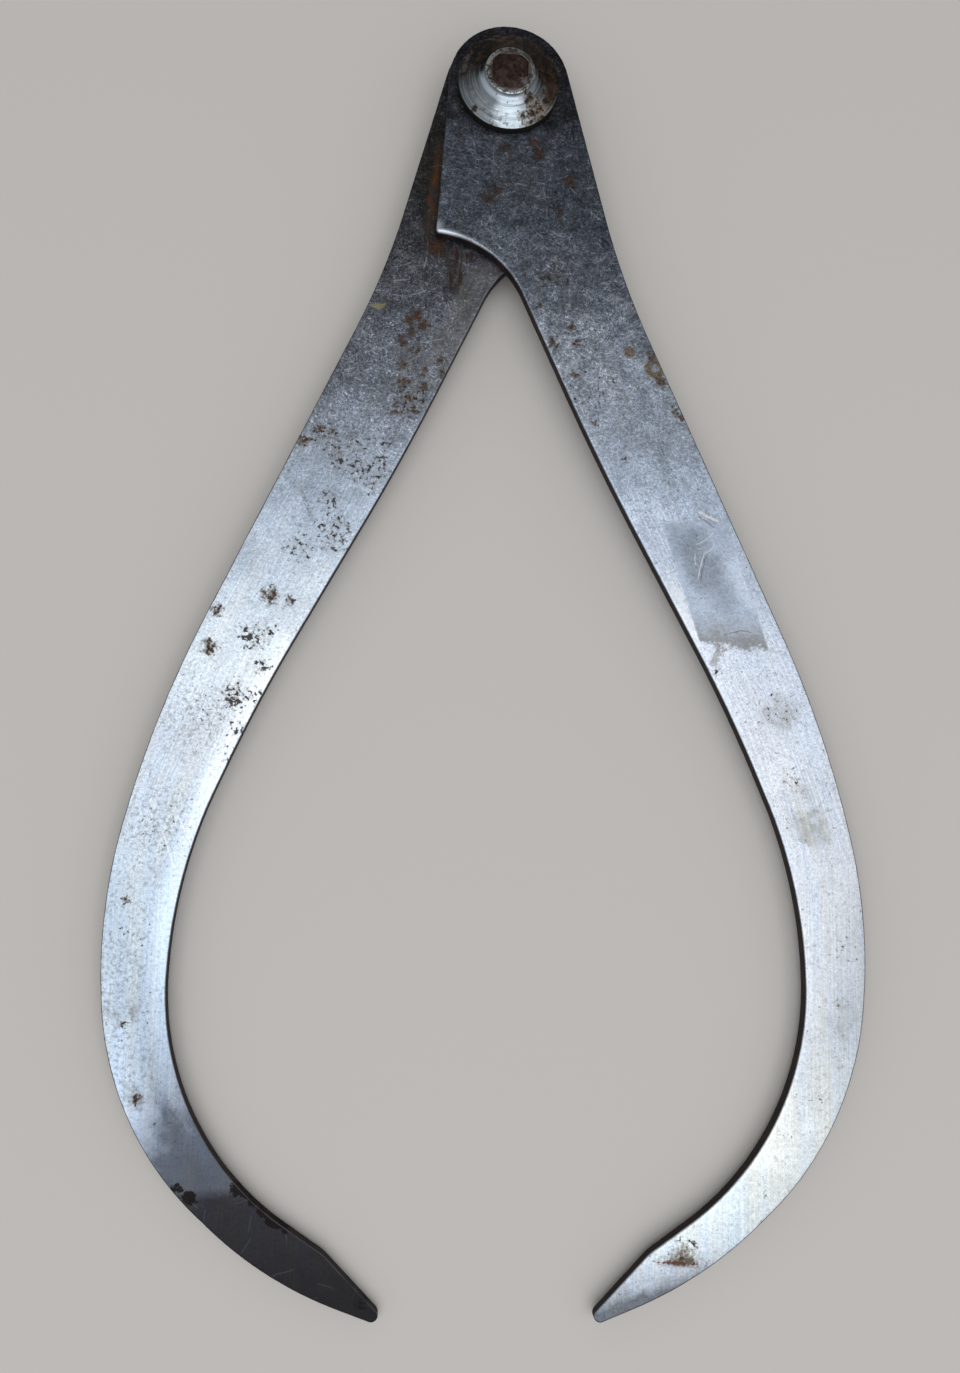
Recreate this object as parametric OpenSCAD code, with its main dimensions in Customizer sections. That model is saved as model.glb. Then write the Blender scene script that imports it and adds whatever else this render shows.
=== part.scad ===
// Firm-joint outside caliper: two bowed flat legs turning on one squared rivet
// between two coned cap washers. The caliper lies flat, joint axis along +Z,
// legs towards -Y. Z = 0 is the small flat on the rear cap washer.

/* [Legs] */
// Joint axis to the middle of the tip rounding, mm (nominal 8 inch tool)
leg_reach = 203.2; // [195:0.1:212]
// Thickness of the flat bar each leg is cut from, mm (3/32 inch)
leg_thickness = 2.4; // [2.0:0.1:3.0]
// Thickness left at the very tip after thinning, mm
tip_thickness = 1.8; // [1.4:0.1:2.0]
// Length over which the outer face is thinned down to the tip, mm
thinning_length = 38; // [20:1:60]
// Width of the small bevel on the long edges, mm
edge_bevel = 0.25; // [0.15:0.05:0.35]
// Angle between the two tip lines as the tool lies, degrees
rest_opening = 9.4; // [0:0.1:40]

/* [Joint] */
// Diameter of each cap washer, mm
washer_diameter = 17.6; // [16:0.1:19]
// Height of the straight rim of a cap washer, mm
rim_height = 1.25; // [0.8:0.05:1.8]
// Full height of a cap washer, mm
washer_height = 4.05; // [3.4:0.05:4.8]
// Diameter of the small flat on top of the cone, mm
flat_diameter = 8.6; // [8.2:0.1:9.4]
// Height of the short upright step below that flat, mm
step_height = 0.55; // [0.3:0.05:0.9]
// Radius of the hollow where the cone runs into the step, mm
hollow_radius = 0.6; // [0.3:0.05:0.8]
// Diameter of the round bar the rivet is made from, mm
rivet_diameter = 7.0; // [6.6:0.1:7.2]
// Width across the flats of the squared rivet ends, mm
square_width = 6.0; // [5.6:0.1:6.2]

/* [Fits] */
// Radial clearance of the turning leg on the rivet, mm
running_clearance = 0.03; // [0.01:0.01:0.08]
// Clearance on each side of the squared ends and in the fixed leg, mm
snug_clearance = 0.01; // [0:0.01:0.03]

/* [Colours] */
// Colour of the legs
leg_colour = [0.62, 0.65, 0.69];
// Colour of the cap washers
washer_colour = [0.55, 0.56, 0.58];
// Colour of the rivet
rivet_colour = [0.30, 0.21, 0.17];

/* [Hidden] */
$fn = 96;
reach_drawn = 203.2;
grow = leg_reach / reach_drawn;
seam_z = washer_height + leg_thickness;
top_washer_z = seam_z + leg_thickness;
overcut = 0.1;
rim_bevel = 0.15;
end_break = 0.35;
cone_start = [washer_diameter / 2 - rim_bevel, rim_height + rim_bevel * 0.2];
cone_end = [flat_diameter / 2, washer_height - step_height];
thinning_angle = atan((leg_thickness - tip_thickness) / thinning_length);

// Corners of the leg outline going clockwise, [x, y, rounding radius], with
// the joint axis at [0, 0] and the tip on the -Y axis. The first corner is
// where the two sides of the head would meet, far above its round end.
corners = [
    [-0.8, 67.8, 10.5],     // round head
    [17.5, -35.7, 138],     // hollow of the outer shoulder
    [45.5, -114.1, 173],    // outer bow, first curve
    [50.2, -145.3, 85],     // outer bow, widest place
    [44.6, -178.8, 49],     // outer bow, turning in
    [17.8, -199.4, 62],     // outer bow, running to the tip
    [-3.2, -205.4, 1.0],    // rounded tip
    [9.4, -194.7, 8],       // start of the straight gauging facet
    [36.9, -179.5, 44],     // inner bow, turning in
    [39.3, -140.1, 78],     // inner bow, widest place
    [29.8, -111, 246],      // inner bow, first curve
    [11, -67.8, 452],       // slight swell of the inner edge
    [-3.4, -28.3, 17.3],    // notch under the head
    [-14.1, -26.5, 0.6]     // heel point
];
corner_count = len(corners);
last_bow = 4;
tip_corner = 6;

// Every rounding disc is drawn this much large, and its bevel this much wider,
// so that it crosses the straight edges cleanly instead of just touching them
disc_margin = 0.02;
disc_bevel = edge_bevel + disc_margin;

function unit(v) = v / norm(v);
function turned(v) = [-v[1], v[0]];
function item(i) = corners[(i + corner_count) % corner_count];
function corner(i) = [item(i)[0], item(i)[1]] * grow;
function round_r(i) = item(i)[2] * grow;
function disc_r(i) = round_r(i) + disc_margin;
function back_dir(i) = unit(corner(i - 1) - corner(i));
function next_dir(i) = unit(corner(i + 1) - corner(i));
function half_angle(i) = acos(back_dir(i) * next_dir(i)) / 2;
function tangent_length(i) = round_r(i) / tan(half_angle(i));
function arc_start(i) = corner(i) + back_dir(i) * tangent_length(i);
function arc_end(i) = corner(i) + next_dir(i) * tangent_length(i);
function to_middle(i) = unit(back_dir(i) + next_dir(i));
function arc_middle(i) = corner(i) + to_middle(i) * round_r(i) / sin(half_angle(i));
function bulges(i) = turned(back_dir(i)) * next_dir(i) > 0;
function direction_angle(v) = atan2(v[1], v[0]);
function smooth(r) = max(48, ceil(32 * sqrt(r)));

// How far a disc's share of the outline runs past its arc, and how deep it sits
function run_past(i) = 0.25 + 0.27 * sqrt(round_r(i));
function sit_in(i) = min(2, round_r(i) / 4);
function start_out(i) = unit(arc_start(i) - arc_middle(i));
function end_out(i) = unit(arc_end(i) - arc_middle(i));

// The area round one corner that its rounding disc rules
module corner_area(i) {
    near_start = arc_start(i) + back_dir(i) * run_past(i);
    near_end = arc_end(i) + next_dir(i) * run_past(i);
    polygon([
        near_start + start_out(i),
        corner(i) - to_middle(i) / sin(half_angle(i)),
        near_end + end_out(i),
        near_end - end_out(i) * sit_in(i),
        near_start - start_out(i) * sit_in(i)
    ]);
}

// Disc with bevelled rims, for corners where the outline bulges out
module bulging_corner(i) {
    r = disc_r(i);
    intersection() {
        translate(arc_middle(i))
            rotate_extrude($fn = smooth(r))
                polygon([
                    [0, 0],
                    [r - disc_bevel, 0],
                    [r, disc_bevel],
                    [r, leg_thickness - disc_bevel],
                    [r - disc_bevel, leg_thickness],
                    [0, leg_thickness]
                ]);
        translate([0, 0, -1]) linear_extrude(height = leg_thickness + 2) corner_area(i);
    }
}

// Cutting disc with flared rims, for corners where the outline is hollow
module hollow_corner(i) {
    r = disc_r(i);
    intersection() {
        translate(arc_middle(i))
            rotate_extrude($fn = smooth(r))
                polygon([
                    [0, -1],
                    [r + disc_bevel + 1, -1],
                    [r, disc_bevel],
                    [r, leg_thickness - disc_bevel],
                    [r + disc_bevel + 1, leg_thickness + 1],
                    [0, leg_thickness + 1]
                ]);
        translate([0, 0, -2]) linear_extrude(height = leg_thickness + 4) corner_area(i);
    }
}

// Cutter that bevels both rims of the straight edge after corner i
module straight_bevel(i) {
    reach_in = edge_bevel + overcut;
    translate(arc_end(i))
        rotate(direction_angle(next_dir(i)))
            rotate([90, 0, 90])
                linear_extrude(height = norm(arc_start(i + 1) - arc_end(i))) {
                    polygon([
                        [-reach_in, leg_thickness + overcut],
                        [overcut, leg_thickness + overcut],
                        [overcut, leg_thickness - reach_in]
                    ]);
                    polygon([[-reach_in, -overcut], [overcut, reach_in], [overcut, -overcut]]);
                }
}

// Blank of one leg: straight runs first, then every corner put on or cut out
module leg_blank() {
    difference() {
        union() {
            difference() {
                linear_extrude(height = leg_thickness)
                    polygon([for (i = [0 : corner_count - 1]) each [arc_start(i), arc_end(i)]]);
                for (i = [0 : corner_count - 1]) straight_bevel(i);
            }
            for (i = [0 : corner_count - 1]) if (bulges(i)) bulging_corner(i);
        }
        for (i = [0 : corner_count - 1]) if (!bulges(i)) hollow_corner(i);
    }
}

// One leg in its own frame: mating face at Z = 0, outer face up, with the
// outer face thinned towards the tip
module leg(bore_radius) {
    tip_dir = unit(corner(last_bow + 1) - corner(last_bow));
    thin_from = arc_middle(tip_corner) - thinning_length * tip_dir;
    difference() {
        leg_blank();
        translate([0, 0, -1]) cylinder(r = bore_radius, h = leg_thickness + 2);
        translate([thin_from[0], thin_from[1], leg_thickness])
            rotate([0, 0, direction_angle(tip_dir)])
                rotate([0, thinning_angle, 0])
                    translate([0, -40, 0]) cube([80, 80, 10]);
    }
}

// A coned cap washer, broad face at Z = 0, small flat up, square hole
module cap_washer() {
    slope = unit(cone_end - cone_start);
    above = [slope[1], -slope[0]];
    hollow_x = flat_diameter / 2 + hollow_radius;
    along = (hollow_x - cone_start[0] - above[0] * hollow_radius) / slope[0];
    hollow_c = cone_start + slope * along + above * hollow_radius;
    foot = hollow_c - above * hollow_radius;
    difference() {
        rotate_extrude() {
            difference() {
                polygon([
                    [0, 0],
                    [washer_diameter / 2, 0],
                    [washer_diameter / 2, rim_height],
                    cone_start,
                    foot,
                    [flat_diameter / 2, hollow_c[1]],
                    [flat_diameter / 2, washer_height - 0.1],
                    [flat_diameter / 2 - 0.1, washer_height],
                    [0, washer_height]
                ]);
                translate(hollow_c) circle(r = hollow_radius);
            }
        }
        translate([0, 0, -1])
            linear_extrude(height = washer_height + 2)
                squared_section(snug_clearance);
    }
}

// Section of the squared rivet end: flats, with the bar's own round corners
module squared_section(grow_by) {
    intersection() {
        square(square_width + 2 * grow_by, center = true);
        circle(d = rivet_diameter + 2 * grow_by);
    }
}

// Front leg, lying over the rear one, bowed towards +X
module front_leg() {
    color(leg_colour)
        translate([0, 0, seam_z])
            rotate([0, 0, rest_opening / 2])
                leg(rivet_diameter / 2 + running_clearance);
}

// Rear leg, the same piece turned over, bowed towards -X
module rear_leg() {
    color(leg_colour)
        translate([0, 0, seam_z])
            rotate([0, 0, -rest_opening / 2])
                rotate([0, 180, 0])
                    leg(rivet_diameter / 2 + snug_clearance);
}

// Cap washer on the front leg
module front_cap_washer() {
    color(washer_colour)
        translate([0, 0, top_washer_z]) cap_washer();
}

// Cap washer on the rear leg, small flat down
module rear_cap_washer() {
    color(washer_colour)
        translate([0, 0, washer_height]) rotate([180, 0, 0]) cap_washer();
}

// Rivet: round shank through both legs, ends squared to hold the washers,
// hammered flush with the small flats and broken at the rim
module rivet() {
    full_length = 2 * washer_height + 2 * leg_thickness;
    end_radius = square_width / 2 - 0.05;
    wide_radius = rivet_diameter / 2 + 0.1;
    color(rivet_colour)
        intersection() {
            union() {
                translate([0, 0, washer_height])
                    cylinder(d = rivet_diameter, h = 2 * leg_thickness);
                linear_extrude(height = full_length) squared_section(0);
            }
            rotate_extrude()
                polygon([
                    [0, 0],
                    [end_radius, 0],
                    [wide_radius, end_break],
                    [wide_radius, full_length - end_break],
                    [end_radius, full_length],
                    [0, full_length]
                ]);
        }
}

front_leg();
rear_leg();
front_cap_washer();
rear_cap_washer();
rivet();
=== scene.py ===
import functools
import math

import bmesh
import bpy
import numpy as np
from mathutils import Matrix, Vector, noise


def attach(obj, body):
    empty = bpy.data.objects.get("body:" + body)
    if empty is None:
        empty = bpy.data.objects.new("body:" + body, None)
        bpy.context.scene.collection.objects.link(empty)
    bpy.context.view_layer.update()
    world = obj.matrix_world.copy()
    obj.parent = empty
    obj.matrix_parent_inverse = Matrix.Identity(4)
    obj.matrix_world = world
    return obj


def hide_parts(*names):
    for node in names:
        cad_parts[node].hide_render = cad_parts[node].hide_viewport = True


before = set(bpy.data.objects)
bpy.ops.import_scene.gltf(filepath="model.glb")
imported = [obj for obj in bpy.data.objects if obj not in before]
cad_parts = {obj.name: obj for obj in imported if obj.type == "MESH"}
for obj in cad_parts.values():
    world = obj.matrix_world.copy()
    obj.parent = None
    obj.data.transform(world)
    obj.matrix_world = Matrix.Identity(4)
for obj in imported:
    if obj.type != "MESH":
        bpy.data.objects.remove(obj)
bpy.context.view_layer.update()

MM = 0.001

# ---------------------------------------------------------------- sizes, mm
leg_thickness = 2.4
tip_thickness = 1.8
thinning_length = 38
rest_opening = 9.4
washer_diameter = 17.6
rim_height = 1.25
washer_height = 4.05
flat_diameter = 8.6
step_height = 0.55
hollow_radius = 0.6
rivet_diameter = 7
square_width = 6
hole_spare, rivet_spare = 0.02, -0.01
seam_z = washer_height + leg_thickness
top_washer_z = seam_z + leg_thickness
full_height = 2 * washer_height + 2 * leg_thickness

# Corners of the leg outline going clockwise: x, y, rounding radius. The joint
# is at 0, 0 and the tip lies towards -Y.
leg_corners = [
    (-0.8, 67.8, 10.5),     # round head
    (17.5, -35.7, 138),     # hollow of the outer shoulder
    (45.5, -114.1, 173),    # outer bow, first curve
    (50.2, -145.3, 85),     # outer bow, widest place
    (44.6, -178.8, 49),     # outer bow, turning in
    (17.8, -199.4, 62),     # outer bow, running to the tip
    (-3.2, -205.4, 1.0),    # rounded tip
    (9.4, -194.7, 8),       # start of the straight gauging facet
    (36.9, -179.5, 44),     # inner bow, turning in
    (39.3, -140.1, 78),     # inner bow, widest place
    (29.8, -111, 246),      # inner bow, first curve
    (11, -67.8, 452),       # slight swell of the inner edge
    (-3.4, -28.3, 17.3),    # notch under the head
    (-14.1, -26.5, 0.6),    # heel point
]
tip_corner = 6
notch_end_point = (0.05, -37.76)    # where the notch runs out into the inner edge
head_side_inner, head_side_outer = 2.4, 2.7     # heights of the head's widest places
head_side_walk = 14     # from the top of the head down to its side
outer_rim_width = 0.27

# How finely the pieces are laid out, mm and degrees.
outline_step = 0.12     # between points of the outline
head_points = 600       # of them, from the top of the head to past its sides
row_gap = 0.9           # between rows across the leg, on its straight runs
row_turn = 7            # an edge that turns this far adds one row
station_gap = 8         # between places where the two edges are paired up
face_columns = 14
rim_tilts = (0, 18, 40, 64, 90)
washer_turns = 144
rivet_turns = 96

# Where a soft area ends and where it is full, in shares of its size.
area_end, area_full = 1.25, 0.35


# ------------------------------------------------------------ node helpers
def forward(operation):
    return lambda self, other: self.bench.math(operation, self, other)


def reflected(operation):
    return lambda self, other: self.bench.math(operation, other, self)


class Value:
    """One output inside a node tree. Arithmetic adds Math nodes and is for numbers
    only; colours and places go through the methods of the bench."""

    def __init__(self, bench, socket):
        self.bench = bench
        self.socket = socket

    __add__, __radd__ = forward("ADD"), reflected("ADD")
    __sub__, __rsub__ = forward("SUBTRACT"), reflected("SUBTRACT")
    __mul__, __rmul__ = forward("MULTIPLY"), reflected("MULTIPLY")
    __pow__, __rpow__ = forward("POWER"), reflected("POWER")
    __truediv__, __rtruediv__ = forward("DIVIDE"), reflected("DIVIDE")
    either = forward("MAXIMUM")
    lesser = forward("MINIMUM")

    def __abs__(self):
        return self.bench.math("ABSOLUTE", self)

    def swing(self, size):
        """A noise as a swing of this size, half of it to each side of 0."""
        return (self - 0.5) * size

    def step(self, low, high):
        """0 below low, 1 above high, eased between; low may be the larger."""
        ends = {"From Min": low, "From Max": high}
        if low > high:
            ends = {"From Min": high, "From Max": low, "To Min": 1, "To Max": 0}
        settings = {"interpolation_type": "SMOOTHSTEP"}
        return self.bench.node("ShaderNodeMapRange", settings, {"Value": self, **ends})[0]

    def between(self, low, full_from, full_to, high):
        """1 over the middle stretch, eased down to 0 at low and at high."""
        return self.step(low, full_from) * self.step(high, full_to)


def strongest(masks):
    return functools.reduce(Value.either, masks)


def turned(x, y, degrees):
    """How far x, y lies along a line that leans by these degrees, and across it."""
    c, s = math.cos(math.radians(degrees)), math.sin(math.radians(degrees))
    return x * c + y * s, y * c - x * s


class Made:
    """The outputs of one node, by name or place."""

    def __init__(self, bench, node):
        self.bench = bench
        self.node = node

    def __getitem__(self, name):
        return Value(self.bench, self.node.outputs[name])


class Bench:
    """Lays out the nodes of one material or of the world."""

    def __init__(self, tree):
        self.tree = tree
        tree.nodes.clear()

    def node(self, kind, settings=None, inputs=None):
        """Any node: its settings first, then its inputs, each of them a Value to
        join up or a constant to set on the socket."""
        made = self.tree.nodes.new(kind)
        for name, setting in (settings or {}).items():
            if name == "stops":
                ramp = made.color_ramp
                while len(ramp.elements) < len(setting):
                    ramp.elements.new(0.5)
                for element, (place, colour) in zip(ramp.elements, setting):
                    element.position = place
                    element.color = (*colour, 1)
            else:
                setattr(made, name, setting)
        for name, given in (inputs or {}).items():
            socket = made.inputs[name]
            if isinstance(given, Value):
                self.tree.links.new(given.socket, socket)
            else:
                socket.default_value = (*given, 1) if socket.type == "RGBA" else given
        return Made(self, made)

    def math(self, operation, *operands):
        return self.node("ShaderNodeMath", {"operation": operation}, dict(enumerate(operands)))[0]

    def blend(self, amount, first, second):
        settings = {"data_type": "RGBA", "clamp_factor": True}
        return self.node("ShaderNodeMix", settings, {0: amount, 6: first, 7: second})[2]

    def vector(self, operation, first, second):
        settings = {"operation": operation}
        return self.node("ShaderNodeVectorMath", settings, {0: first, 1: second})

    def stretched(self, place, by):
        return self.vector("MULTIPLY", place, by)[0]

    def moved(self, place, by):
        return self.vector("ADD", place, by)[0]

    def shaded(self, colour, shade):
        return self.stretched(colour, self.joined(shade, shade, shade))

    def far_from(self, place, x, y):
        return self.vector("DISTANCE", place, (x, y, 0))["Value"]

    def parts(self, place):
        split = self.node("ShaderNodeSeparateXYZ", None, {0: place})
        return split["X"], split["Y"], split["Z"]

    def joined(self, x, y, z=0):
        return self.node("ShaderNodeCombineXYZ", None, {"X": x, "Y": y, "Z": z})[0]

    def noise(self, place, scale=1, detail=2, roughness=0.5, output="Fac"):
        inputs = {"Vector": place, "Scale": scale, "Detail": detail, "Roughness": roughness}
        return self.node("ShaderNodeTexNoise", None, inputs)[output]

    def drawn(self, x, y, z=0, detail=2, roughness=0.5):
        """Noise over x and y that were scaled apart, so that it draws out."""
        return self.noise(self.joined(x, y, z), 1, detail, roughness)

    def stirred(self, flat, place, scale, detail, by):
        """The flat place pushed about by a noise that is taken at the other place."""
        push = self.moved(self.noise(place, scale, detail, output="Color"), (-0.5, -0.5, 0))
        return self.moved(flat, self.stretched(push, (by, by, 0)))

    def measure(self, name):
        """A number kept with the corners of the mesh."""
        return self.node("ShaderNodeAttribute", {"attribute_name": name})["Fac"]

    def disc(self, place, x, y, radius, soft):
        """Round mask: 1 inside, fading out on both sides of the radius."""
        return self.far_from(place, x, y).step(radius * (1 + soft), radius * (1 - soft))

    def spots(self, place, spots, soft):
        return strongest([self.disc(place, *spot, soft) for spot in spots])

    def areas(self, place, areas):
        """Soft round areas (x, y, size, strength), the strongest one counting."""
        return strongest([
            self.far_from(place, x, y).step(size * area_end, size * area_full) * strength
            for x, y, size, strength in areas])

    def hairs(self, x, y, degrees, length, width, rarity, seed):
        """Fine hair lines in one direction: noise drawn out lengthwise."""
        along, across = turned(x, y, degrees)
        return self.drawn(along / length, across / width, seed, 1).step(rarity, rarity + 0.09)

    def scratches(self, flat, cell, length, width, share, shift):
        """Short straight scratches, one at most in each cell of a random pattern."""
        at = self.stretched(flat, (1 / cell, 1 / cell, 0))
        at = self.moved(at, (shift, shift * 1.7, 0))
        settings, inputs = {"voronoi_dimensions": "2D"}, {"Vector": at, "Scale": 1}
        cells = self.node("ShaderNodeTexVoronoi", settings, inputs)
        dx, dy, _ = self.parts(self.vector("SUBTRACT", at, cells["Position"])[0])
        red, green, blue = self.parts(cells["Color"])
        angle = red.swing(math.pi)
        c, s = self.math("COSINE", angle), self.math("SINE", angle)
        along, across = dx * c + dy * s, dy * c - dx * s
        bent = across + along * along * (green - 0.5) * 0.8
        line = abs(bent).step(width / cell, width / cell * 0.25)
        run = abs(along).step(length / cell * 0.5, length / cell * 0.3)
        return line * run * blue.step(1 - share, 1 - share + 0.05)


def srgb(red, green, blue):
    """Colour given in 0-255 display steps, turned into light."""
    def light(step):
        step = step / 255
        return step / 12.92 if step <= 0.04045 else ((step + 0.055) / 1.055) ** 2.4
    return light(red), light(green), light(blue)


def grey(level):
    return level, level, level


def new_material(name):
    material = bpy.data.materials.new(name)
    material.use_nodes = True
    return material, Bench(material.node_tree)


class Finish:
    """A material whose colour is laid on in coats; its places are in mm."""

    def __init__(self, name):
        self.material, self.bench = new_material(name)
        place = self.bench.node("ShaderNodeTexCoord")["Object"]
        self.place = self.bench.stretched(place, (1 / MM, 1 / MM, 1 / MM))
        self.x, self.y, self.z = self.bench.parts(self.place)
        self.flat = self.bench.joined(self.x, self.y)

    def coat(self, amount, tint):
        self.colour = self.bench.blend(amount, self.colour, tint)

    def done(self, roughness, metallic, height, depth_mm, specular):
        """Joins the colour to its shader and output, with its relief."""
        bench = self.bench
        relief = bench.node("ShaderNodeBump", None, {
            "Strength": 1, "Distance": depth_mm * MM, "Height": height})
        shader = bench.node("ShaderNodeBsdfPrincipled", None, {
            "Base Color": self.colour, "Roughness": roughness, "Metallic": metallic,
            "Specular IOR Level": specular, "Normal": relief[0]})
        bench.node("ShaderNodeOutputMaterial", None, {"Surface": shader["BSDF"]})
        return self.material


# ------------------------------------------------------------ mesh helpers
def unit(v):
    return v / np.linalg.norm(v)


def outline_walk(corners):
    """Closely spaced points once round the outline, from the middle of the
    head clockwise, and the place of the tip in that list."""
    spots = [np.array(corner[:2], float) for corner in corners]
    arcs = []
    for i, (_, _, radius) in enumerate(corners):
        back = unit(spots[i - 1] - spots[i])
        ahead = unit(spots[(i + 1) % len(spots)] - spots[i])
        half = math.acos(back @ ahead) / 2
        start = spots[i] + back * radius / math.tan(half)
        end = spots[i] + ahead * radius / math.tan(half)
        middle = spots[i] + unit(back + ahead) * radius / math.sin(half)
        first = math.atan2(*(start - middle)[::-1])
        sweep = math.atan2(*(end - middle)[::-1]) - first
        sweep = (sweep + math.pi) % (2 * math.pi) - math.pi
        steps = 2 * max(10, int(abs(sweep) * radius / outline_step / 2))
        angles = first + sweep * np.linspace(0, 1, steps + 1)
        arcs.append(middle + radius * np.stack([np.cos(angles), np.sin(angles)], 1))
    points = []
    for i, arc in enumerate(arcs):
        points.extend(arc[:-1])
        if i == 0:
            head_middle = len(arc) // 2
        if i == tip_corner:
            tip_at = len(points) - len(arc) // 2
        run = arcs[(i + 1) % len(arcs)][0] - arc[-1]
        steps = max(1, int(np.linalg.norm(run) / outline_step))
        points.extend(arc[-1] + run * k / steps for k in range(steps))
    points = np.array(points)
    points = np.roll(points, -head_middle, axis=0)
    return points, tip_at - head_middle


class EdgeLine:
    """One side of the leg from head to tip, asked for by distance walked."""

    def __init__(self, points, left_is_out):
        self.points = points
        step = np.linalg.norm(np.diff(points, axis=0), axis=1)
        self.walked = np.concatenate([[0], np.cumsum(step)])
        run = np.gradient(points, self.walked, axis=0)
        run /= np.linalg.norm(run, axis=1)[:, None]
        self.out = np.stack([-run[:, 1], run[:, 0]], 1) * (1 if left_is_out else -1)
        turn = np.unwrap(np.arctan2(run[:, 1], run[:, 0]))
        self.turning = np.concatenate([[0], np.cumsum(np.abs(np.diff(turn)))])

    def at(self, walked):
        place = np.stack([np.interp(walked, self.walked, self.points[:, i]) for i in (0, 1)], 1)
        out = np.stack([np.interp(walked, self.walked, self.out[:, i]) for i in (0, 1)], 1)
        return place, out / np.linalg.norm(out, axis=1)[:, None]


def leg_stations():
    """Pairs of points on the inner and outer edge, from head to tip: level with
    each other at the sides of the head, the nearest ones from the notch on."""
    points, tip_at = outline_walk(leg_corners)
    outer = EdgeLine(points[:tip_at + 1], True)
    inner = EdgeLine(np.vstack([points[tip_at:], points[:1]])[::-1], False)

    def head_side(edge, y):
        return edge.walked[np.argmin(np.abs(edge.points[:head_points, 1] - y))]

    pairs = [(0, 0), (head_side(inner, head_side_inner), head_side(outer, head_side_outer))]
    notch_end = inner.walked[np.argmin(np.hypot(*(inner.points - notch_end_point).T))]
    for walked in np.arange(notch_end, inner.walked[-1] - 5, station_gap):
        place = inner.at(np.array([walked]))[0][0]
        near = np.argmin(np.hypot(*(outer.points - place).T))
        pairs.append((walked, max(outer.walked[near], pairs[-1][1] + 0.5)))
    pairs.append((inner.walked[-1], outer.walked[-1]))
    keys_in, keys_out = np.array(pairs).T
    opposite = np.interp(inner.walked, keys_in, keys_out)
    outer_turning = np.interp(opposite, outer.walked, outer.turning)
    # rows stand closer where an edge turns
    effort = (inner.walked / row_gap + np.degrees(inner.turning) / row_turn
              + np.degrees(outer_turning) / row_turn)
    count = int(effort[-1])
    walked_in = np.interp(np.linspace(0, effort[-1], count + 1), effort, inner.walked)
    walked_out = np.interp(walked_in, keys_in, keys_out)
    return inner.at(walked_in), outer.at(walked_out), walked_in, notch_end


def build_mesh(name, corners, faces, grain=None, measures=None, smooth=True):
    """Makes an object from places in mm, its faces and its two surface maps."""
    mesh = bpy.data.meshes.new(name)
    mesh.from_pydata([tuple(c * MM for c in corner) for corner in corners], [], faces)
    if grain is not None:
        layer = mesh.uv_layers.new(name="grain")
        for loop in mesh.loops:
            layer.data[loop.index].uv = grain[loop.vertex_index]
    for measure, values in (measures or {}).items():
        mesh.attributes.new(measure, "FLOAT", "POINT").data.foreach_set("value", values)
    mesh.validate()
    mesh.update()
    piece = bpy.data.objects.new(name, mesh)
    bpy.context.collection.objects.link(piece)
    if smooth:
        mesh.shade_smooth()
        weights = piece.modifiers.new("flat faces stay flat", "WEIGHTED_NORMAL")
        weights.mode = "FACE_AREA"
        weights.weight = 90
    return piece


def covered(areas, x, y):
    """How strongly the strongest of some soft areas covers each x, y."""
    cover = np.zeros(len(x))
    for middle_x, middle_y, size, strength in areas:
        away = np.hypot(x - middle_x, y - middle_y)
        share = np.clip((size * area_end - away) / (size * (area_end - area_full)), 0, 1)
        cover = np.maximum(cover, share * share * (3 - 2 * share) * strength)
    return cover


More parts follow.
